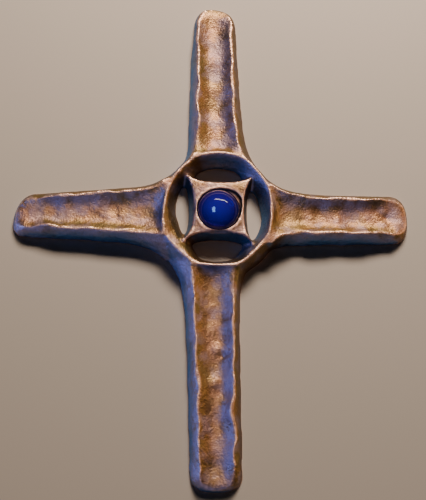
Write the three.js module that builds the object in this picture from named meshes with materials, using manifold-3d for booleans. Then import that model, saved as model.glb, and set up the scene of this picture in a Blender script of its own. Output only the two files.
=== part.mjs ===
// A hand-modelled cross of cast bronze with a blue glass cabochon, lying on its flat back.
// The bronze is one casting: four channelled arms, an eight-sided ring where they meet, and inside the
// ring a star-shaped web with four piercings around it that carries the seat for the glass.
// Sizes are in millimetres. X runs along the right arm, Y along the top arm, Z out of the face, and the
// origin is on the flat back, under the middle of the ring.
import * as THREE from "three";
import { mergeVertices } from "three/addons/utils/BufferGeometryUtils.js";
import Module from "manifold-3d";

const RAD = Math.PI / 180;

// Heights above the flat back.
const RING_HEIGHT = 10;
const ARM_HEIGHT = 8;
const TIP_HEIGHT = 6.8;
const TIP_END_HEIGHT = 3.2;
const CHANNEL_FLOOR = 3.4;
const WEB_HEIGHT = 8.5;
const WEB_END_HEIGHT = 6.6;

// Each arm, by the direction it points in. reach is from the ring's centre to the tip, and tip is the
// length of the rounded end. Pairs hold the value at the waist, just outside the ring, and the value near
// the tip. drift is the sideways offset of the arm's middle line, and foot and rim are half widths at the
// back and along the two rims. skew is how far the tip leans out on the anticlockwise side, per mm across.
// The flares widen the arm towards the ring. They are given as extra width and length over which it fades,
// first for the anticlockwise side and then for the clockwise side.
const ARMS = [
  {
    name: "right",
    turn: 0,
    reach: 89.5,
    tip: 9,
    skew: 0,
    drift: [-1.9, -1.1],
    foot: [12.6, 12.2],
    rim: [8.8, 8.7],
    footFlare: [[9.5, 7.2], [4.8, 5]],
    rimFlare: [[5, 7.5], [4, 4]],
  },
  {
    name: "top",
    turn: 90,
    reach: 107.0,
    tip: 11,
    skew: 0.03,
    drift: [0.9, 1.4],
    foot: [12.9, 10.9],
    rim: [8.8, 8.4],
    footFlare: [[5, 4], [9, 9]],
    rimFlare: [[2.8, 5], [4.4, 9]],
  },
  {
    name: "left",
    turn: 180,
    reach: 93.0,
    tip: 9,
    skew: 0.2,
    drift: [1.6, 2.6],
    foot: [13.0, 10.9],
    rim: [9.9, 7.4],
    footFlare: [[10.5, 8], [7.9, 9]],
    rimFlare: [[1.5, 9], [4.6, 5.5]],
  },
  {
    name: "bottom",
    turn: 270,
    reach: 126.4,
    tip: 8,
    skew: 0,
    drift: [-2.0, -0.5],
    foot: [12.4, 11.7],
    rim: [9.2, 7.9],
    footFlare: [[8.7, 6], [9.3, 9.5]],
    rimFlare: [[1.7, 5], [2.0, 6]],
  },
];
const WAIST_AT = 45;
const ARM_START = 18;
const HUB_STEP = 1.1;
const ARM_STEP = 3.7;
const TIP_STATIONS = 7;
const TIP_SQUARENESS = 2.5;
const TIP_DRAFT = 1.1;
const RIM_LAND = 1.2;
const FOOT_FLARE_AT = 22;
const RIM_FLARE_AT = 26;
const CHANNEL_END_RUN = 7;

// Where a rim or the foot of a wall was pushed in or out by the maker's fingers. side is +1 or -1 across
// the arm.
const DENTS = [
  { arm: "bottom", line: "rim", side: -1, at: 84, wide: 5, push: -1.0 },
  { arm: "bottom", line: "rim", side: 1, at: 93, wide: 6, push: -1.1 },
  { arm: "bottom", line: "rim", side: 1, at: 103, wide: 5, push: 0.8 },
  { arm: "right", line: "rim", side: -1, at: 37, wide: 4, push: -1.3 },
  { arm: "top", line: "rim", side: 1, at: 56, wide: 5, push: 0.8 },
  { arm: "top", line: "rim", side: 1, at: 88, wide: 9, push: 0.8 },
  { arm: "top", line: "foot", side: 1, at: 99, wide: 17, push: -1.2 },
  { arm: "left", line: "rim", side: 1, at: 79, wide: 6, push: -0.7 },
];

// The ring's crest runs around these points, each a direction in degrees and a distance. Its sides swell
// from straight lines between the points towards an arc by the share in CREST_BOW.
const CREST_CORNERS = [
  [0, 24.7],
  [26, 25.8],
  [66, 28.1],
  [90, 27.8],
  [113, 27.4],
  [148, 25.5],
  [205, 27.6],
  [249, 28.2],
  [290, 27.8],
  [331, 25.8],
];
const CREST_BOW = 0.42;
const CREST_LAND = 0.6;
const CORNER_SOFTNESS = 5;
const RING_INNER_RUN = 4.7;
const RING_OUTER_RUN = 4;
const RING_SEGMENTS = 64;
const WALL_LEVELS = [2.5, 4.6, 6.6, 8.3];

// Wax smeared along the ring by hand. Each smear lies around one direction and moves the foot of the wall
// by extra, towards the middle on the inner wall and away from it on the outer. Where power is high, it is
// as thick near the crest as at the foot.
const INNER_SMEARS = [
  { turn: 33, wide: 8, extra: 0.8, power: 1.3 },
  { turn: 52, wide: 8, extra: 1.6, power: 1.3 },
  { turn: 125, wide: 8, extra: 1.8, power: 1.3 },
  { turn: 207, wide: 22, extra: 3.7, power: 4 },
  { turn: 234, wide: 10, extra: 1.8, power: 4 },
  { turn: 268, wide: 16, extra: -1.0, power: 1 },
  { turn: 307, wide: 9, extra: 1.8, power: 1.3 },
  { turn: 350, wide: 16, extra: -1.2, power: 1 },
];
const OUTER_SMEARS = [
  { turn: 135, wide: 14, extra: -0.8, power: 1 },
  { turn: 225, wide: 12, extra: 1.1, power: 1 },
  { turn: 315, wide: 14, extra: 0.8, power: 1 },
];

// The web's four concave edges, as distances from the centre. bows is how far each edge has curved out
// when it reaches BOW_AT to its anticlockwise side and to its clockwise side.
const WEB_EDGES = [
  { turn: 0, edge: 11.6, bows: [2.8, 3.2] },
  { turn: 90, edge: 13.1, bows: [3.9, 2.4] },
  { turn: 180, edge: 10.9, bows: [4.7, 2.2] },
  { turn: 270, edge: 10.6, bows: [3.5, 4.1] },
];
const BOW_AT = 15;
const BOW_POWER = 2.8;
const WEB_DRAFT = 0.3;
const WEB_FLAT_RADIUS = 12.5;

// The glass and its seat.
const GLASS = { x: 0.3, y: -0.2, radius: 9.8, rise: 6.2, girdle: 8, thick: 2.9 };
const SEAT_GAP = 0.3;

const wasm = await Module();
wasm.setup();

function toSolid(geometry) {
  const bare = new THREE.BufferGeometry();
  bare.setAttribute("position", geometry.getAttribute("position"));
  bare.setIndex(geometry.getIndex());
  const merged = mergeVertices(bare, 1e-4);
  const mesh = new wasm.Mesh({
    numProp: 3,
    vertProperties: merged.attributes.position.array,
    triVerts: new Uint32Array(merged.index.array),
  });
  return new wasm.Manifold(mesh);
}

function toGeometry(solid) {
  const mesh = solid.getMesh();
  const geometry = new THREE.BufferGeometry();
  geometry.setAttribute("position", new THREE.BufferAttribute(mesh.vertProperties, 3));
  geometry.setIndex(new THREE.BufferAttribute(mesh.triVerts, 1));
  geometry.computeVertexNormals();
  return geometry;
}

// A solid skinned over closed rings of points, with the first and last ring capped from their middles.
// Each ring runs anticlockwise when seen from the last ring's side.
function loft(rings) {
  const count = rings[0].length;
  const points = rings.flat();
  const faces = [];
  const next = (i) => (i + 1) % count;
  for (let r = 0; r + 1 < rings.length; r += 1) {
    const low = r * count;
    const high = low + count;
    for (let i = 0; i < count; i += 1) {
      faces.push(low + i, low + next(i), high + next(i));
      faces.push(low + i, high + next(i), high + i);
    }
  }
  const middle = (ring) =>
    ring.reduce((sum, p) => sum.add(p), new THREE.Vector3()).divideScalar(ring.length);
  points.push(middle(rings[0]), middle(rings.at(-1)));
  const last = (rings.length - 1) * count;
  for (let i = 0; i < count; i += 1) {
    faces.push(points.length - 2, next(i), i);
    faces.push(points.length - 1, last + i, last + next(i));
  }
  const geometry = new THREE.BufferGeometry().setFromPoints(points);
  geometry.setIndex(faces);
  return toSolid(geometry);
}

const mix = (a, b, t) => a + (b - a) * t;
const clamp01 = (t) => Math.min(1, Math.max(0, t));
const flare = ([extra, length], at, s) => extra * Math.exp(-(s - at) / length);
const quarterRound = (t) => 1 - Math.sqrt(1 - t * t);

// The slow unevenness of a line drawn by hand in wax.
function handWave(s, phase) {
  const turns = (2 * Math.PI * s) / 19;
  return 0.26 * Math.sin(turns + phase) + 0.16 * Math.sin(2 * turns + 2.3 * phase);
}

function dentAt(arm, line, side, s) {
  return DENTS.filter((d) => d.arm === arm.name && d.line === line && d.side === side).reduce(
    (sum, d) => sum + d.push * Math.exp(-(((s - d.at) / d.wide) ** 2) * 2),
    0,
  );
}

// Where an arm's channel reaches its full depth.
const channelEnd = (arm) => crestRadius(arm.turn) + 0.4 + CHANNEL_END_RUN;

// One cross-section of an arm at a distance from the ring's centre, as a closed line of points: a channel
// between two thin rims, with outer walls that lean out towards the back.
function armSection(arm, s) {
  const along = clamp01((s - WAIST_AT) / (arm.reach - arm.tip - WAIST_AT));
  const toTip = clamp01((s - (arm.reach - arm.tip)) / arm.tip);
  const rounding = (1 - Math.min(toTip, 0.999) ** TIP_SQUARENESS) ** (1 / TIP_SQUARENESS);
  const shared = mix(arm.drift[0], arm.drift[1], along);
  const lean = arm.skew * clamp01((s - (arm.reach - 2.5 * arm.tip)) / (2.5 * arm.tip));
  const toRing = Math.exp(-(Math.max(s, RIM_FLARE_AT) - RIM_FLARE_AT) / 9);
  const straight = mix(mix(ARM_HEIGHT, RING_HEIGHT - 0.1, toRing), TIP_HEIGHT, along ** 3);
  // The rims sink over the last of the arm until they meet the channel's floor at the tip's edge.
  const sinking = clamp01((s - (arm.reach - 2.2 * arm.tip)) / (2.2 * arm.tip));
  const height = mix(straight, TIP_END_HEIGHT, sinking ** 3);
  // At its other end, the channel climbs to the ring's crest in a quarter-round.
  const ringEnd = quarterRound(clamp01((channelEnd(arm) - s) / CHANNEL_END_RUN));
  const floor = mix(mix(CHANNEL_FLOOR, height, ringEnd), height - 0.1, toTip ** 2);
  // The rims end short of the foot, so that the tip's end wall leans back as the side walls do.
  const upper = s - (TIP_DRAFT * Math.max(0, s - ARM_START)) / (arm.reach - ARM_START);
  // Inside the fillets, the walls keep to the diagonals, where they meet those of the next arm.
  const diagonal = (sign) => s + 0.7 - sign * shared;

  const side = (sign) => {
    const pick = sign > 0 ? 0 : 1;
    const freedom = clamp01((s - 30) / 10);
    const wander = freedom * (handWave(s, arm.turn * RAD + sign) + dentAt(arm, "rim", sign, s));
    const footWander = freedom * (0.6 * handWave(s, 5 * sign + arm.turn) + dentAt(arm, "foot", sign, s));
    const footFlare = flare(arm.footFlare[pick], FOOT_FLARE_AT, s);
    const rimFlare = flare(arm.rimFlare[pick], RIM_FLARE_AT, Math.max(s, RIM_FLARE_AT - 1));
    const footHalf = mix(arm.foot[0], arm.foot[1], along) + footFlare + footWander;
    const rimHalf = mix(arm.rim[0], arm.rim[1], along) + rimFlare + wander;
    const foot = Math.min(footHalf, diagonal(sign));
    const outer = Math.min(rimHalf, foot - 1.5);
    const inner = Math.max(0.05, (outer - RIM_LAND) * rounding);
    const crest = height + 0.7 * freedom * handWave(s, 4 + arm.turn - sign);
    return { sign, foot: foot * rounding, outer: outer * rounding, inner, crest };
  };
  const place = (distance, across, z) => {
    const p = new THREE.Vector3(distance + lean * across, across + shared, z);
    return p.applyAxisAngle(new THREE.Vector3(0, 0, 1), arm.turn * RAD);
  };
  const wall = (w) => [
    place(s, w.sign * w.foot, 0),
    place(mix(s, upper, 0.5), w.sign * (mix(w.foot, w.outer, 0.5) + 0.3 * rounding), w.crest * 0.52),
    place(upper, w.sign * w.outer, w.crest - 0.35),
    place(upper, w.sign * mix(w.outer, w.inner, 0.45), w.crest),
    place(upper, w.sign * w.inner, w.crest - 0.35),
  ];
  const right = side(1);
  const left = side(-1);
  const channel = [0.75, 0.42, 0, -0.42, -0.75].map((share) => {
    const bank = share > 0 ? right : left;
    const depth = bank.crest - 0.35 - Math.min(floor, bank.crest - 0.35);
    return place(upper, share * bank.inner, bank.crest - 0.35 - depth * (1 - Math.abs(share) ** 2.4));
  });
  return [...wall(right), ...channel, ...wall(left).reverse()];
}

function armSolid(arm) {
  const stations = [];
  const straight = arm.reach - arm.tip;
  for (let s = ARM_START; s < channelEnd(arm); s += HUB_STEP) stations.push(s);
  for (let s = stations.at(-1) + HUB_STEP; s < straight - 1; s += ARM_STEP) stations.push(s);
  for (let i = 0; i <= TIP_STATIONS; i += 1) {
    stations.push(straight + arm.tip * Math.sin((i / TIP_STATIONS) * 88 * RAD));
  }
  return loft(stations.map((s) => armSection(arm, s)));
}

// The crest line before its corners are softened, as a distance from the centre. degrees is 0 to 360.
function sharpCrest(degrees) {
  const start = CREST_CORNERS.findLastIndex(([turn]) => turn <= degrees);
  const [startTurn, startReach] = CREST_CORNERS[start];
  const [endTurn, endReach] = CREST_CORNERS[start + 1] ?? [360, CREST_CORNERS[0][1]];
  const past = degrees - startTurn;
  const left = endTurn - degrees;
  const span = endTurn - startTurn;
  const chord =
    (startReach * endReach * Math.sin(span * RAD)) /
    (startReach * Math.sin(past * RAD) + endReach * Math.sin(left * RAD));
  return mix(chord, mix(startReach, endReach, past / span), CREST_BOW);
}

// The crest line as a distance from the centre, in the direction given in degrees.
function crestRadius(degrees) {
  const steps = [-1, -0.5, 0, 0.5, 1];
  const around = steps.map((step) => sharpCrest((degrees + step * CORNER_SOFTNESS + 360) % 360));
  return around.reduce((sum, reach) => sum + reach, 0) / steps.length;
}

// How far the smears move a wall of the ring, in one direction and at one height.
function smearAt(smears, degrees, z) {
  const up = clamp01(z / RING_HEIGHT);
  return smears.reduce((sum, { turn, wide, extra, power }) => {
    const past = ((degrees - turn + 540) % 360) - 180;
    return sum + extra * Math.exp(-((past / wide) ** 2)) * (1 - up ** power);
  }, 0);
}

// A closed ring of points at one height, inset from the crest line and by the smears. An inset below 0 lies
// outside it.
function crestRing(inset, z, smears = []) {
  const inwards = Math.sign(inset);
  return Array.from({ length: RING_SEGMENTS }, (_, i) => {
    const degrees = (i / RING_SEGMENTS) * 360;
    const radius = crestRadius(degrees) - inset - inwards * smearAt(smears, degrees, z);
    return new THREE.Vector3(radius * Math.cos(degrees * RAD), radius * Math.sin(degrees * RAD), z);
  });
}

function hubSolid() {
  return loft([
    crestRing(-RING_OUTER_RUN, 0, OUTER_SMEARS),
    crestRing(-mix(RING_OUTER_RUN, CREST_LAND, 0.5) - 0.2, RING_HEIGHT * 0.5, OUTER_SMEARS),
    crestRing(-CREST_LAND, RING_HEIGHT - 0.4),
    crestRing(0, RING_HEIGHT),
  ]);
}

// The hollow inside the ring, from its crest down to the height given. Its bottom is flat in the middle
// and falls from there to its edge.
function wellSolid(middle, edge) {
  const run = (z) => CREST_LAND + (RING_INNER_RUN * (RING_HEIGHT - z)) / RING_HEIGHT;
  const wall = [edge, ...WALL_LEVELS.filter((z) => z > edge)];
  const flat = crestRing(0, 0).map((p) => p.setLength(WEB_FLAT_RADIUS).setZ(middle));
  return loft([
    flat,
    ...wall.map((z) => crestRing(run(z), z, INNER_SMEARS)),
    crestRing(CREST_LAND, RING_HEIGHT - 0.4),
    crestRing(0, RING_HEIGHT + 0.01),
    crestRing(0, RING_HEIGHT + 2),
  ]);
}

// All that lies outside one edge of the web, whose wall leans out towards the back.
function webSide({ turn, edge, bows }) {
  const half = 22;
  const rings = [-2, WEB_HEIGHT + 0.5].map((z) => {
    const ring = [];
    for (let y = half; y >= -half; y -= half / 9) {
      const bow = bows[y > 0 ? 0 : 1] * (Math.abs(y) / BOW_AT) ** BOW_POWER;
      ring.push(new THREE.Vector3(edge + bow + WEB_DRAFT * (WEB_HEIGHT - z), y, z));
    }
    ring.push(new THREE.Vector3(60, -half, z), new THREE.Vector3(60, half, z));
    return ring.map((p) => p.applyAxisAngle(new THREE.Vector3(0, 0, 1), turn * RAD));
  });
  return loft(rings);
}

// The glass and its seat are turned shapes about an upright line through the glass's middle.
function turned(profile, segments) {
  const points = profile.map(([r, z]) => new THREE.Vector2(r, z));
  const geometry = new THREE.LatheGeometry(points, segments);
  return geometry.rotateX(90 * RAD).translate(GLASS.x, GLASS.y, 0);
}

function seatSolid() {
  const bed = GLASS.girdle - GLASS.thick - SEAT_GAP;
  const wall = GLASS.radius + SEAT_GAP;
  return toSolid(
    turned(
      [
        [0, bed],
        [wall - 0.5, bed],
        [wall, bed + 0.5],
        [wall, WEB_HEIGHT - 0.5],
        [wall + 0.9, WEB_HEIGHT + 0.7],
        [0, WEB_HEIGHT + 0.7],
      ],
      56,
    ),
  );
}

function glassGeometry() {
  const { radius, rise, girdle, thick } = GLASS;
  const sphere = (radius ** 2 + rise ** 2) / (2 * rise);
  const edge = Math.asin(radius / sphere);
  const dome = Array.from({ length: 9 }, (_, i) => {
    const angle = edge * (1 - i / 8);
    return [sphere * Math.sin(angle), girdle + rise - sphere * (1 - Math.cos(angle))];
  });
  const bottom = girdle - thick;
  return turned([[0, bottom], [radius - 0.7, bottom], [radius, bottom + 0.7], ...dome], 56);
}

function bronzeSolid() {
  let bronze = hubSolid();
  for (const arm of ARMS) bronze = bronze.add(armSolid(arm));
  const well = wellSolid(-1, -1);
  bronze = bronze.subtract(wellSolid(WEB_HEIGHT, WEB_END_HEIGHT));
  for (const edge of WEB_EDGES) bronze = bronze.subtract(well.intersect(webSide(edge)));
  return bronze.subtract(seatSolid());
}

const bronzeFinish = new THREE.MeshStandardMaterial({ color: "#8a6446", metalness: 1, roughness: 0.38 });
const glassFinish = new THREE.MeshStandardMaterial({ color: "#10148c", metalness: 0, roughness: 0.05 });

const casting = new THREE.Mesh(toGeometry(bronzeSolid()), bronzeFinish);
casting.name = "bronze_cross";

const cabochon = new THREE.Mesh(glassGeometry(), glassFinish);
cabochon.name = "glass_cabochon";

const cross = new THREE.Group();
cross.add(casting, cabochon);

export default cross;
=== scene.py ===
import math

import bpy
import numpy as np
from mathutils import Matrix, Vector, noise


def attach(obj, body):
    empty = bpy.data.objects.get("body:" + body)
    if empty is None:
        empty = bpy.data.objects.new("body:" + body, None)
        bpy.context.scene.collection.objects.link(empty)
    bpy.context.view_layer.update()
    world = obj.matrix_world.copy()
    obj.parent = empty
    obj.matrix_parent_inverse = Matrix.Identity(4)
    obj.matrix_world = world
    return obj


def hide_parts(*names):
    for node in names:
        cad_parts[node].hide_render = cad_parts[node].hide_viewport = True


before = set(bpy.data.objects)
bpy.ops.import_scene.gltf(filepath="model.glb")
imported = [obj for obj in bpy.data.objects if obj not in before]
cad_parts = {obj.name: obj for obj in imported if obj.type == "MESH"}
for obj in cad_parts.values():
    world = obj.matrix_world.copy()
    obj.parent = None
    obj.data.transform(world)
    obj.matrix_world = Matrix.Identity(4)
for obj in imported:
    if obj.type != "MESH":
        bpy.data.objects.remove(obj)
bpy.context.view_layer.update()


# The cross itself: one casting of bronze, poured from a wax that was modelled by hand.
# Its skin keeps the thumb dabs and the pinched edges of the wax. It was browned all over with a patina,
# and the rims were then rubbed back to bright metal.

MM = 0.001
CAST_GRID = 0.46 * MM
MERGE_REACH = 0.01 * MM

bpy.ops.object.select_all(action="DESELECT")
casting = bpy.data.objects.new("cast_bronze_cross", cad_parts["bronze_cross"].data.copy())
bpy.context.collection.objects.link(casting)
bpy.context.view_layer.objects.active = casting
casting.select_set(True)
bpy.ops.object.mode_set(mode="EDIT")
bpy.ops.mesh.select_all(action="SELECT")
bpy.ops.mesh.remove_doubles(threshold=MERGE_REACH)
bpy.ops.object.mode_set(mode="OBJECT")


def finish_with(piece, kind, **settings):
    """Adds a modifier to the piece, sets it up and applies it."""
    modifier = piece.modifiers.new(kind.lower(), kind)
    for name, value in settings.items():
        setattr(modifier, name, value)
    bpy.context.view_layer.objects.active = piece
    bpy.ops.object.modifier_apply(modifier=modifier.name)


finish_with(casting, "REMESH", mode="VOXEL", voxel_size=CAST_GRID)


# From here the wax is shaped in millimetres. A ridge is told by setting each vertex against its
# surroundings, averaged this many times. A crest is a ridge that rises past the first of two heights, and
# is fully one at the second.
RIDGE_PASSES = 8
CREST_RIDGE = (0.03, 0.14)
NOISE_SHIFT = (17.3, -9.1, 5.7)


def points_of(piece):
    """The piece's vertices and their normals, in millimetres."""
    count = len(piece.data.vertices)
    places = np.empty(count * 3, np.float32)
    normals = np.empty(count * 3, np.float32)
    piece.data.vertices.foreach_get("co", places)
    piece.data.vertices.foreach_get("normal", normals)
    return places.reshape(-1, 3).astype(float) / MM, normals.reshape(-1, 3).astype(float)


def move_points(piece, places):
    """Puts the piece's vertices at these places, given in millimetres."""
    piece.data.vertices.foreach_set("co", (places * MM).astype(np.float32).ravel())
    piece.data.update()


def ramp(value, low, high):
    """0 at low, 1 at high, and a smooth rise between them."""
    t = np.clip((value - low) / (high - low), 0, 1)
    return t * t * (3 - 2 * t)


def bell(value, middle, width):
    """1 at the middle, and falling smoothly to nothing over about twice the width."""
    return np.exp(-(((value - middle) / width) ** 2))


def unevenness(places, depth, size, seed):
    """Smooth noise up to about the depth either way, in lumps of the size, both in millimetres."""
    shift = Vector([seed * step for step in NOISE_SHIFT])
    return depth * np.array([noise.noise(Vector(place) / size + shift) for place in places])


def spread(piece, values, times, hold=0.0):
    """Averages values with their neighbours' along the skin, several times over, and less under hold."""
    count = len(piece.data.vertices)
    ends = np.empty(len(piece.data.edges) * 2, np.int32)
    piece.data.edges.foreach_get("vertices", ends)
    a, b = ends[0::2], ends[1::2]
    links = np.bincount(a, minlength=count) + np.bincount(b, minlength=count)
    share = 0.5 * (1 - hold)
    for _ in range(times):
        total = np.bincount(a, values[b], count) + np.bincount(b, values[a], count)
        values = (1 - share) * values + share * total / links
    return values


def round_off(piece, times, hold=0.0):
    """Draws the skin smooth, except where hold is near 1."""
    places, _ = points_of(piece)
    move_points(piece, np.stack([spread(piece, places[:, i], times, hold) for i in range(3)], axis=1))


def ridges_of(piece):
    """How far each vertex stands out from its surroundings, in millimetres: ridges above 0."""
    places, normals = points_of(piece)
    around = np.stack([spread(piece, places[:, i], RIDGE_PASSES) for i in range(3)], axis=1)
    return ((places - around) * normals).sum(axis=1)


def crests_of(piece):
    """1 on the pinched crests, and 0 away from them."""
    return ramp(spread(piece, ridges_of(piece), 2), *CREST_RIDGE)


# The wax was drawn smooth between the crests, which keep their pinched edges.
SMOOTHING_PASSES = 34
CREST_HOLD = 0.96
round_off(casting, 3)
round_off(casting, SMOOTHING_PASSES, CREST_HOLD * crests_of(casting))
round_off(casting, 2)

# What each vertex belongs to: the arms or the hub, a crest, a channel's floor, or the flat back. Each
# zone has the value where it begins, and the one where it is fully reached.
ARM_START = (27, 33)
BACK_END = (0.3, 1.6)
FLOOR_HEIGHT = (1.5, 3)
UPWARD_FACE = (0.35, 0.75)
places, normals = points_of(casting)
crest = crests_of(casting)
from_centre = np.hypot(places[:, 0], places[:, 1])
on_arm = ramp(from_centre, *ARM_START)
above_back = ramp(places[:, 2], *BACK_END)
faces_up = ramp(normals[:, 2], *UPWARD_FACE)
on_floor = on_arm * faces_up * (1 - crest) * ramp(places[:, 2], *FLOOR_HEIGHT)
in_channel = spread(casting, on_floor, 3)

# Which way each arm points, and how far its channel lies beside the middle of the ring.
ARM_WAYS = {"right": (1, 0), "top": (0, 1), "left": (-1, 0), "bottom": (0, -1)}
ARM_DRIFT = {"right": -1.5, "top": 1.2, "left": 2.1, "bottom": -1.2}


def along_and_across(places, arm):
    """How far along the arm and how far across it, growing anticlockwise, each vertex lies."""
    way_x, way_y = ARM_WAYS[arm]
    along = places[:, 0] * way_x + places[:, 1] * way_y
    across = places[:, 1] * way_x - places[:, 0] * way_y - ARM_DRIFT[arm]
    return along, across


# Each channel climbs to the ring's crest in a long hollow slope, drawn between the crests like a skin.
RING_REACH = {"right": 24.9, "top": 28.0, "left": 26.4, "bottom": 27.7}
RING_EDGE = (-0.8, 0.2)
SLOPE_FOOT = (-16, -9)
SLOPE_SIDE = (-0.6, 0.4)
SLOPE_HEIGHT = (2, 3)
CHANNEL_HALF_WIDTH = 9.0
CHANNEL_FLARE = 1.6
FLARE_LENGTH = 4.0
SLOPE_PASSES = 320
at_end = np.zeros(len(places))
for arm, reach in RING_REACH.items():
    along, across = along_and_across(places, arm)
    beyond = along - reach
    half_width = CHANNEL_HALF_WIDTH + CHANNEL_FLARE * np.exp(-np.clip(beyond, 0, None) / FLARE_LENGTH)
    in_end = ramp(beyond, *RING_EDGE) * ramp(-beyond, *SLOPE_FOOT)
    in_end *= ramp(half_width - abs(across), *SLOPE_SIDE) * ramp(places[:, 2], *SLOPE_HEIGHT)
    at_end = np.maximum(at_end, in_end * (1 - crest))
places[:, 2] = spread(casting, places[:, 2], SLOPE_PASSES, 1 - at_end)

# The two lower webs end as high as they start.
WEB_LIFT = 1.5
WEB_RUN = (12, 19)
WEB_END = (-23.5, -21.5)
WEB_HEIGHT = (4.5, 6)
WEB_FACE = (0.6, 0.9)
LOWER_SIDE = (2, 8)
on_web = ramp(from_centre, *WEB_RUN) * ramp(-from_centre, *WEB_END) * ramp(-places[:, 1], *LOWER_SIDE)
on_web *= ramp(places[:, 2], *WEB_HEIGHT) * ramp(normals[:, 2], *WEB_FACE)
places[:, 2] += WEB_LIFT * on_web

# Thumb dabs in the channels, each by its arm, its place along and across it, its width and its height.
THUMB_DABS = [
    ("left", 84.5, -1.2, 2.0, 0.55),
    ("left", 80.0, -2.6, 1.6, 0.35),
    ("left", 76.0, -4.6, 2.2, -0.45),
    ("left", 68.8, -1.4, 2.4, 0.55),
    ("left", 65.0, -3.8, 2.2, -0.35),
    ("left", 61.5, -0.9, 3.0, 0.60),
    ("left", 56.0, -2.0, 1.6, 0.35),
    ("left", 53.5, -5.4, 1.8, 0.40),
    ("left", 50.5, 0.2, 3.2, 0.70),
    ("left", 47.0, -3.0, 2.2, -0.45),
    ("left", 43.0, 0.0, 2.3, 0.60),
    ("right", 37.0, 1.2, 1.9, 0.45),
    ("right", 42.5, -0.9, 2.6, 0.55),
    ("right", 47.0, 3.4, 2.8, -0.60),
    ("right", 52.0, 3.8, 2.2, 0.40),
    ("right", 55.4, -1.2, 2.0, 0.75),
    ("right", 61.5, -2.2, 3.0, -0.35),
    ("right", 68.3, -0.9, 3.0, 0.55),
    ("right", 74.0, 0.0, 1.6, 0.35),
    ("right", 77.0, -2.4, 1.6, 0.45),
    ("right", 77.5, 3.4, 1.4, 0.50),
    ("right", 78.5, 0.2, 1.5, -0.50),
    ("right", 84.5, -3.4, 2.0, 0.35),
    ("top", 97.0, 1.0, 3.4, -0.35),
    ("top", 77.5, 0.6, 3.0, 0.60),
    ("top", 71.0, -2.2, 2.6, -0.35),
    ("top", 62.0, 0.2, 2.6, 0.50),
    ("top", 52.0, 1.8, 3.0, -0.35),
    ("top", 44.5, 0.6, 2.2, 0.35),
    ("bottom", 46.0, -1.6, 2.6, 0.55),
    ("bottom", 56.0, -1.0, 2.6, 0.60),
    ("bottom", 58.5, 4.0, 2.4, -0.45),
    ("bottom", 64.0, 0.4, 2.0, 0.85),
    ("bottom", 67.0, 3.2, 1.2, -0.80),
    ("bottom", 71.5, 2.2, 2.6, -0.45),
    ("bottom", 79.0, -0.6, 2.0, 0.85),
    ("bottom", 84.0, 3.4, 2.2, -0.50),
    ("bottom", 88.0, -0.6, 3.4, 0.30),
    ("bottom", 98.0, 0.8, 3.4, -0.50),
    ("bottom", 108.0, -0.8, 3.0, 0.20),
    ("bottom", 116.0, 0.0, 3.6, -0.60),
]
DAB_SPREAD = 1.4
dabs = np.zeros(len(places))
for arm, at, aside, width, height in THUMB_DABS:
    along, across = along_and_across(places, arm)
    dabs += height * bell(np.hypot(along - at, across - aside), 0, DAB_SPREAD * width)

# Around them the wax is softly uneven, and the walls carry long strokes. The flat back stays flat.
STROKE_SQUEEZE = np.array([0.35, 0.35, 1.0])
lumps = unevenness(places, depth=0.30, size=9.0, seed=1) + unevenness(places, depth=0.13, size=4.2, seed=2)
strokes = unevenness(places * STROKE_SQUEEZE, depth=0.14, size=4.5, seed=3)
hub_lumps = (1 - on_arm) * faces_up * unevenness(places, depth=0.24, size=4.5, seed=4)
skin = unevenness(places, depth=0.06, size=1.6, seed=5)
push = in_channel * (dabs + lumps) + (1 - in_channel) * (1 - crest) * (strokes + hub_lumps) + skin
places += normals * (above_back * push)[:, None]

# The pinched rims waver and are nicked here and there, those of the arms more than the ring's.
RING_WAVER = 0.12
ARM_WAVER = 0.38
RING_NICK = 0.10
ARM_NICK = 0.22
waver = np.stack([unevenness(places, depth=1, size=8.0, seed=6 + i) for i in range(3)], axis=1)
nicks = np.stack([unevenness(places, depth=1, size=2.4, seed=9 + i) for i in range(3)], axis=1)
rim = above_back * crest
places += waver * (rim * (RING_WAVER + (ARM_WAVER - RING_WAVER) * on_arm))[:, None]
places += nicks * (rim * (RING_NICK + (ARM_NICK - RING_NICK) * on_arm))[:, None]
move_points(casting, places)

# The ring's crest was rubbed flat where hands lift the cross, at three of its corners. Each has its
# bearing and its width in degrees, and the depth that is worn off.
WORN_CORNERS = [
    (-37, 13, 1.30),
    (147, 12, 1.04),
    (-128, 10, 0.65),
]
CREST_TOP = 10.3
SHARE_LEFT = 0.3
places, _ = points_of(casting)
bearing = np.degrees(np.arctan2(places[:, 1], places[:, 0]))
cap = CREST_TOP - sum(depth * bell(bearing, corner, width) for corner, width, depth in WORN_CORNERS)
places[:, 2] = np.where(places[:, 2] > cap, cap + SHARE_LEFT * (places[:, 2] - cap), places[:, 2])
move_points(casting, places)

# The lip of the seat was pressed down around the glass, and stands open at the upper right.
GLASS_CENTRE = (0.3, -0.2)
SEAT_TOP = (6.4, 7.6)
LIP_RADIUS = 10.9
LIP_BREADTH = 0.8
LIP_PRESS = 0.6
LIP_RISE = 0.40
GAPE_RADIUS = 10.4
GAPE_BREADTH = 1.3
GAPE_BEARING = 38
GAPE_DEGREES = 34
GAPE_OPENING = 1.1
GAPE_DEPTH = 1.0
places, _ = points_of(casting)
from_glass = np.hypot(places[:, 0] - GLASS_CENTRE[0], places[:, 1] - GLASS_CENTRE[1])
bearing = np.degrees(np.arctan2(places[:, 1] - GLASS_CENTRE[1], places[:, 0] - GLASS_CENTRE[0]))
outward = (places[:, :2] - np.array(GLASS_CENTRE)) / from_glass[:, None]
high = ramp(places[:, 2], *SEAT_TOP)
gape = high * bell(bearing, GAPE_BEARING, GAPE_DEGREES) * bell(from_glass, GAPE_RADIUS, GAPE_BREADTH)
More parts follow.
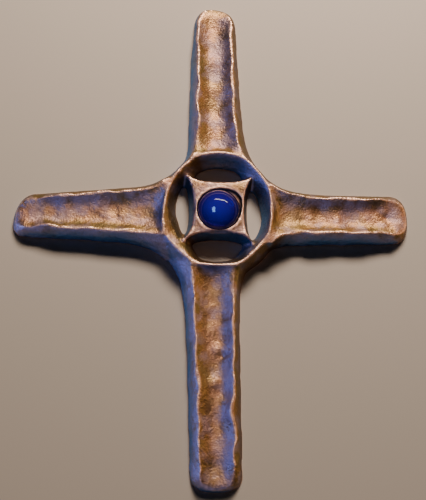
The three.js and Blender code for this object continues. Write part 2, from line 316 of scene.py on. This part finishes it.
lip = high * bell(from_glass, LIP_RADIUS, LIP_BREADTH) * (1 - gape)
places[:, :2] += outward * (GAPE_OPENING * gape - LIP_PRESS * lip)[:, None]
places[:, 2] += LIP_RISE * lip - GAPE_DEPTH * gape
move_points(casting, places)
round_off(casting, 1)


def keep_value(piece, name, values):
    """Stores one number per vertex on the piece, for its material to read."""
    attribute = piece.data.attributes.new(name, "FLOAT", "POINT")
    attribute.data.foreach_set("value", values.astype(np.float32))


# Where hands and the polishing cloth reach, the metal is bright; in the corners the patina stays. A blue
# reflection of the cool window light is painted on the sides that face left and down.
RUBBED_RIDGE = (0.02, 0.11)
COOL_REFLECTION_SIDE = (-0.86, -0.50)
COOL_REFLECTION_START = (-0.1, 0.5)
places, normals = points_of(casting)
keep_value(casting, "rubbed", ramp(spread(casting, ridges_of(casting), 1), *RUBBED_RIDGE))
keep_value(casting, "upward", normals[:, 2])
keep_value(casting, "painted_cool_reflection", ramp(normals[:, :2] @ np.array(COOL_REFLECTION_SIDE), *COOL_REFLECTION_START))

# The bronze is painted darker round the glass, most of all in the open upper right corner of the seat,
# where it is painted shade, and darker at the top end.
SEAT_DARKENING = 0.22
SEAT_END = (-18, -14)
CORNER_SHADE = 0.60
CORNER_SIZE = 3.6
OPEN_CORNER = (11.8, 8.3)
TOP_END = 92
TOP_END_SIZE = 12
from_corner = np.hypot(places[:, 0] - OPEN_CORNER[0], places[:, 1] - OPEN_CORNER[1])
on_seat = ramp(-from_glass, *SEAT_END)
painted_shade_and_darkening = on_seat * (SEAT_DARKENING + CORNER_SHADE * bell(from_corner, 0, CORNER_SIZE))
keep_value(casting, "painted_shade_and_darkening", painted_shade_and_darkening + SEAT_DARKENING * bell(places[:, 1], TOP_END, TOP_END_SIZE))

# The flattest faces are merged, most of them on the back, where nothing is lost.
FACES_KEPT = 0.65
finish_with(casting, "DECIMATE", ratio=FACES_KEPT)
bpy.ops.object.shade_smooth()


def linear(colour):
    """A colour as the shader takes it, from its sRGB hex value."""
    shares = [int(colour[i:i + 2], 16) / 255 for i in (1, 3, 5)]
    return [s / 12.92 if s <= 0.04045 else ((s + 0.055) / 1.055) ** 2.4 for s in shares] + [1.0]


def new_material(name):
    """An empty node material with its node tree and its Principled shader."""
    material = bpy.data.materials.new(name)
    material.use_nodes = True
    return material, material.node_tree, material.node_tree.nodes["Principled BSDF"]


def add_node(tree, kind, output, inputs, **settings):
    """Adds a node and gives one output of it. inputs maps sockets to values, or to outputs to link."""
    node = tree.nodes.new(kind)
    for name, value in settings.items():
        setattr(node, name, value)
    for socket, value in inputs.items():
        if isinstance(value, bpy.types.NodeSocket):
            tree.links.new(value, node.inputs[socket])
        else:
            node.inputs[socket].default_value = value
    return node.outputs[output]


# Statuary bronze, cast and browned with liver of sulphur. The walls and banks are golden brown, with a
# painted blue and violet reflection of the cool window light on those that face the lower left. The floors
# of the channels were rubbed to a rose colour. The grain of the mould breaks its highlights into sparkles.
patina, tree, shader = new_material("patinated_cast_bronze")
spot = add_node(tree, "ShaderNodeTexCoord", "Object", {})
rubbed = add_node(tree, "ShaderNodeAttribute", "Fac", {}, attribute_name="rubbed")
upward = add_node(tree, "ShaderNodeAttribute", "Fac", {}, attribute_name="upward")
painted_cool_reflection = add_node(tree, "ShaderNodeAttribute", "Fac", {}, attribute_name="painted_cool_reflection")
painted_shade_and_darkening = add_node(tree, "ShaderNodeAttribute", "Fac", {}, attribute_name="painted_shade_and_darkening")

# Each cloudy pattern has the width of its patches, its detail, and the noise values that give 0 and 1.
# The grain is drawn coarser than a real mould's, so that it shows.
CLOUDS = {
    "patina_patch": (7 * MM, 3.0, 0.36, 0.64),
    "bronze_tone": (11 * MM, 2.0, 0.35, 0.65),
    "tarnish_spot": (3.2 * MM, 4.0, 0.55, 0.85),
    "mould_grain": (0.9 * MM, 3.0, 0.30, 0.70),
    "cast_pit": (2.4 * MM, 2.0, 0.30, 0.70),
}
cloudy = {}
for name, (width, detail, low, high) in CLOUDS.items():
    pattern = {"Vector": spot, "Scale": 1 / width, "Detail": detail}
    clouds = add_node(tree, "ShaderNodeTexNoise", "Fac", pattern)
    limits = {"Value": clouds, "From Min": low, "From Max": high}
    cloudy[name] = add_node(tree, "ShaderNodeMapRange", "Result", limits)

# The painted blue reflection frays in patches, on the walls less than in the channels, and so does the
# edge of the rubbed floors. The more a face looks upward, the likelier it is a bank of a channel, and then
# its floor, and the lighter its colour is painted: painted light from above, over the rose of the rubbed
# floors.
# A Mix node's sockets go by number: 0 is the share, 2 and 3 are its numbers, 6 and 7 its colours.
COOL_REFLECTION_FRAY = 1.5
FLOOR_FRAY = 0.10
WALL_FRAYED = 0.2
CHANNEL_FRAYED = 0.7
FLOOR_COOL_REFLECTION = 0.75
SPOT_DIRT = 0.45
BANK_UPWARD = (0.35, 0.70)
FLOOR_UPWARD = (0.76, 0.99)
fray = add_node(tree, "ShaderNodeMath", 0, {0: cloudy["patina_patch"], 1: 0.5}, operation="SUBTRACT")
frayed_cool_reflection = add_node(
    tree, "ShaderNodeMath", 0, {0: fray, 1: COOL_REFLECTION_FRAY, 2: painted_cool_reflection},
    operation="MULTIPLY_ADD", use_clamp=True,
)
wall_cool_reflection = add_node(tree, "ShaderNodeMix", 0, {0: WALL_FRAYED, 2: painted_cool_reflection, 3: frayed_cool_reflection})
channel_cool_reflection = add_node(tree, "ShaderNodeMix", 0, {0: CHANNEL_FRAYED, 2: painted_cool_reflection, 3: frayed_cool_reflection})
floor_cool_reflection = add_node(tree, "ShaderNodeMath", 0, {0: channel_cool_reflection, 1: FLOOR_COOL_REFLECTION}, operation="MULTIPLY")
leaning = add_node(
    tree, "ShaderNodeMath", 0, {0: fray, 1: FLOOR_FRAY, 2: upward}, operation="MULTIPLY_ADD"
)
banks = {"Value": upward, "From Min": BANK_UPWARD[0], "From Max": BANK_UPWARD[1]}
bank_share = add_node(tree, "ShaderNodeMapRange", "Result", banks)
floors = {"Value": leaning, "From Min": FLOOR_UPWARD[0], "From Max": FLOOR_UPWARD[1]}
floor_share = add_node(tree, "ShaderNodeMapRange", "Result", floors)
# Random tarnish spots, and on top of them the bronze painted darker round the glass and at the top end,
# with painted shade in the open corner of the seat.
tarnish_and_darkening = add_node(
    tree, "ShaderNodeMath", 0, {0: cloudy["tarnish_spot"], 1: SPOT_DIRT, 2: painted_shade_and_darkening},
    operation="MULTIPLY_ADD", use_clamp=True,
)

# The bare colours, and then the coats: each has its name, the share of the second colour, and the two
# colours that it mixes, either bare or coats before it.
coats = {
    "bright bronze": linear("#f0c8b0"),
    "rose bronze": linear("#b3866a"),
    "tan bronze": linear("#a5835c"),
    "golden brown": linear("#957646"),
    "olive brown": linear("#7f7148"),
    "brown patina": linear("#66503e"),
    "dark tarnish and painted shade": linear("#3e2f26"),
    "blue painted reflection": linear("#4f7aa8"),
    "violet painted reflection": linear("#aa9cac"),
}
# The blue and violet colours below are a painted reflection of the cool window light from the left.
COAT_MIXES = [
    ("walls", wall_cool_reflection, "brown patina", "blue painted reflection"),
    ("golden", cloudy["bronze_tone"], "golden brown", "olive brown"),
    ("banks", channel_cool_reflection, "golden", "violet painted reflection"),
    ("rosy", cloudy["bronze_tone"], "rose bronze", "tan bronze"),
    ("floors", floor_cool_reflection, "rosy", "violet painted reflection"),
    # Walls, banks and floors are painted lighter as their faces look up: painted light from above.
    ("walls and banks", bank_share, "walls", "banks"),
    ("clean field", floor_share, "walls and banks", "floors"),
    ("field", tarnish_and_darkening, "clean field", "dark tarnish and painted shade"),
    ("skin", rubbed, "field", "bright bronze"),
]
for name, share, first, second in COAT_MIXES:
    inputs = {0: share, 6: coats[first], 7: coats[second]}
    coats[name] = add_node(tree, "ShaderNodeMix", 2, inputs, data_type="RGBA")
tree.links.new(coats["skin"], shader.inputs["Base Color"])
shader.inputs["Metallic"].default_value = 1.0

# The patina is duller in some patches than in others, and the rubbed rims shine a little more.
LEAST_ROUGH = 0.43
MOST_ROUGH = 0.55
RUBBED_SHINE = 0.08
patches = {"Value": cloudy["patina_patch"], "To Min": LEAST_ROUGH, "To Max": MOST_ROUGH}
dull = add_node(tree, "ShaderNodeMapRange", "Result", patches)
roughness = add_node(
    tree, "ShaderNodeMath", 0, {0: rubbed, 1: -RUBBED_SHINE, 2: dull}, operation="MULTIPLY_ADD"
)
tree.links.new(roughness, shader.inputs["Roughness"])

# The grain and the pits of the mould stand in the skin.
GRAIN_SHARE = 0.80
RELIEF_DEPTH = 0.17 * MM
RELIEF_STRENGTH = 0.8
relief = add_node(
    tree, "ShaderNodeMath", 0, {0: cloudy["mould_grain"], 1: GRAIN_SHARE, 2: cloudy["cast_pit"]},
    operation="MULTIPLY_ADD",
)
bump = {"Height": relief, "Strength": RELIEF_STRENGTH, "Distance": RELIEF_DEPTH}
tree.links.new(add_node(tree, "ShaderNodeBump", "Normal", bump), shader.inputs["Normal"])
casting.data.materials.clear()
casting.data.materials.append(patina)
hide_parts("bronze_cross")
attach(casting, "root")


# The stone: a domed cabochon of cobalt blue glass, fused and fire-polished, 20 mm across.
# It lies on the bed of the seat, and the bronze lip around it holds it in.

GLASS_RADIUS = 9.8 * MM
GLASS_RISE = 6.2 * MM
GIRDLE_HEIGHT = 8.0 * MM
GLASS_FOOT = 2.9 * MM
BEVEL_DROP = 0.7 * MM
BEVEL_SHARE = 0.93
FACETS = 96
SHARP_EDGE = math.radians(35)

dome_radius = (GLASS_RADIUS ** 2 + GLASS_RISE ** 2) / (2 * GLASS_RISE)
glass_place = Vector((GLASS_CENTRE[0] * MM, GLASS_CENTRE[1] * MM, GIRDLE_HEIGHT))
bpy.ops.object.select_all(action="DESELECT")
bpy.ops.mesh.primitive_uv_sphere_add(
    segments=FACETS, ring_count=FACETS, radius=dome_radius,
    location=glass_place + Vector((0, 0, GLASS_RISE - dome_radius)),
)
glass = bpy.context.active_object
glass.name = "cobalt_glass_cabochon"
bpy.ops.object.mode_set(mode="EDIT")
bpy.ops.mesh.select_all(action="SELECT")
bpy.ops.mesh.bisect(plane_co=glass_place, plane_no=(0, 0, 1), clear_inner=True, use_fill=True)
bpy.ops.mesh.extrude_region_move(TRANSFORM_OT_translate={"value": (0, 0, BEVEL_DROP - GLASS_FOOT)})
bpy.ops.mesh.extrude_region_move(TRANSFORM_OT_translate={"value": (0, 0, -BEVEL_DROP)})
bpy.ops.transform.resize(value=(BEVEL_SHARE, BEVEL_SHARE, 1))
bpy.ops.mesh.select_all(action="SELECT")
bpy.ops.mesh.normals_make_consistent(inside=False)
bpy.ops.object.mode_set(mode="OBJECT")
bpy.ops.object.transform_apply(location=True, rotation=True, scale=True)
bpy.ops.object.shade_smooth_by_angle(angle=SHARP_EDGE)

# Cobalt glass: clear and deeply coloured, with painted shade that darkens it towards its thin edge over
# the shaded seat, and a fire-polished face that mirrors the lamps sharply.
COBALT = "#7638ff"
SHADED_COBALT = "#1c0a40"
UNSHADED_SHARE = 0.35
cobalt, tree, shader = new_material("cobalt_glass")
spot = add_node(tree, "ShaderNodeTexCoord", "Object", {})
# Painted shade: the colour darkens from the middle of the glass towards its edge.
from_middle = add_node(
    tree, "ShaderNodeVectorMath", "Value", {0: spot, 1: glass_place}, operation="DISTANCE"
)
reach = {"Value": from_middle, "From Min": UNSHADED_SHARE * GLASS_RADIUS, "From Max": GLASS_RADIUS}
depth = add_node(tree, "ShaderNodeMapRange", "Result", reach)
inputs = {0: depth, 6: linear(COBALT), 7: linear(SHADED_COBALT)}
colour = add_node(tree, "ShaderNodeMix", 2, inputs, data_type="RGBA")
tree.links.new(colour, shader.inputs["Base Color"])
shader.inputs["Roughness"].default_value = 0.03
shader.inputs["IOR"].default_value = 1.52
shader.inputs["Transmission Weight"].default_value = 0.5
glass.data.materials.clear()
glass.data.materials.append(cobalt)
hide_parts("glass_cabochon")
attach(glass, "root")


# The studio: a table of pale painted board, so matt that it mirrors no lamp. The key softbox stands
# beyond the top of the cross, 35 degrees up, and a wide one hangs over it. Cool window light comes in low
# from the left, and faint fills from the right and the front. The glass has lamps of its own.

TABLE_SIZE = 24.0

bpy.ops.object.select_all(action="DESELECT")
bpy.ops.mesh.primitive_plane_add(size=TABLE_SIZE, location=(0, 0, 0))
table = bpy.context.active_object
table.name = "studio_table"
tabletop, tree, shader = new_material("pale_matt_board")
shader.inputs["Base Color"].default_value = linear("#d6cec4")
shader.inputs["Roughness"].default_value = 0.9
shader.inputs["Specular IOR Level"].default_value = 0.05
table.data.materials.append(tabletop)


def soft_light(name, place, size, watts, colour, pieces):
    """A flat soft light at this place, aimed at the cross. It lights these pieces and no others."""
    light = bpy.data.lights.new(name, "AREA")
    light.shape = "RECTANGLE"
    light.size, light.size_y = size
    light.energy = watts
    light.color = linear(colour)[:3]
    lamp = bpy.data.objects.new(name, light)
    bpy.context.collection.objects.link(lamp)
    lamp.location = place
    lamp.rotation_euler = (-Vector(place)).to_track_quat("-Z", "Y").to_euler()
    lamp.light_linking.receiver_collection = bpy.data.collections.new("lit_by_" + name)
    for piece in pieces:
        lamp.light_linking.receiver_collection.objects.link(piece)


# Each lamp's place, width and height are in metres. The far softbox keeps the table pale behind.
soft_light("key_softbox", (0.07, 0.39, 0.28), (0.16, 0.09), 2.8, "#ffe9d6", [casting, table])
soft_light("overhead_softbox", (-0.02, -0.02, 0.60), (0.34, 0.28), 0.9, "#ffe4dc", [casting])
soft_light("far_softbox", (0.7, 3.9, 2.8), (1.6, 0.9), 60, "#ffe9d6", [table])
soft_light("strip_light", (0.08, 0.36, 0.32), (0.50, 0.045), 1.0, "#fff0e4", [glass])
soft_light("high_spot", (-0.26, -0.02, 0.56), (0.28, 0.15), 2.3, "#80b8ff", [glass])
soft_light("cool_window", (-0.55, -0.10, 0.14), (0.20, 0.60), 1.6, "#7f9eff", [casting])
soft_light("warm_fill", (0.50, 0.10, 0.14), (0.40, 0.20), 0.8, "#ffcca4", [casting])
soft_light("front_fill", (-0.12, -0.50, 0.27), (0.40, 0.20), 0.30, "#b8c0ff", [casting])

# The room around adds next to no light of its own.
world = bpy.data.worlds.new("studio_world")
bpy.context.scene.world = world
world.use_nodes = True
world.node_tree.nodes["Background"].inputs["Color"].default_value = linear("#c8ccd8")
world.node_tree.nodes["Background"].inputs["Strength"].default_value = 0.012

# The camera stands over the foot of the cross and a little to its left: 18 degrees off the upright,
# turned 12 degrees, with the top arm upright in the picture.
TILT = math.radians(18)
SWING = math.radians(-12)
FOCAL_PIXELS = 1050.0
PIXELS_PER_METRE = 2200.0
RING_PIXEL = (218.5, 207.6)
PICTURE_CENTRE = (213.0, 250.0)
PICTURE_HEIGHT = 500
SENSOR_MM = 36.0
NEAR_CLIP = 0.01
RING_TOP = Vector((0, 0, 0.010))

backward = Vector((math.sin(TILT) * math.sin(SWING), -math.sin(TILT) * math.cos(SWING), math.cos(TILT)))
upright = (Vector((0, 1, 0)) - backward * backward.y).normalized()
rightward = upright.cross(backward)
distance = FOCAL_PIXELS / PIXELS_PER_METRE
aside = (RING_PIXEL[0] - PICTURE_CENTRE[0]) / PIXELS_PER_METRE
aloft = (PICTURE_CENTRE[1] - RING_PIXEL[1]) / PIXELS_PER_METRE
lens = bpy.data.cameras.new("camera")
lens.sensor_width = SENSOR_MM
lens.lens = SENSOR_MM * FOCAL_PIXELS / PICTURE_HEIGHT
lens.clip_start = NEAR_CLIP
camera = bpy.data.objects.new("camera", lens)
bpy.context.collection.objects.link(camera)
stand = RING_TOP - rightward * aside - upright * aloft + backward * distance
camera.matrix_world = (
    Matrix.Translation(stand) @ Matrix((rightward, upright, backward)).transposed().to_4x4()
)
bpy.context.scene.camera = camera
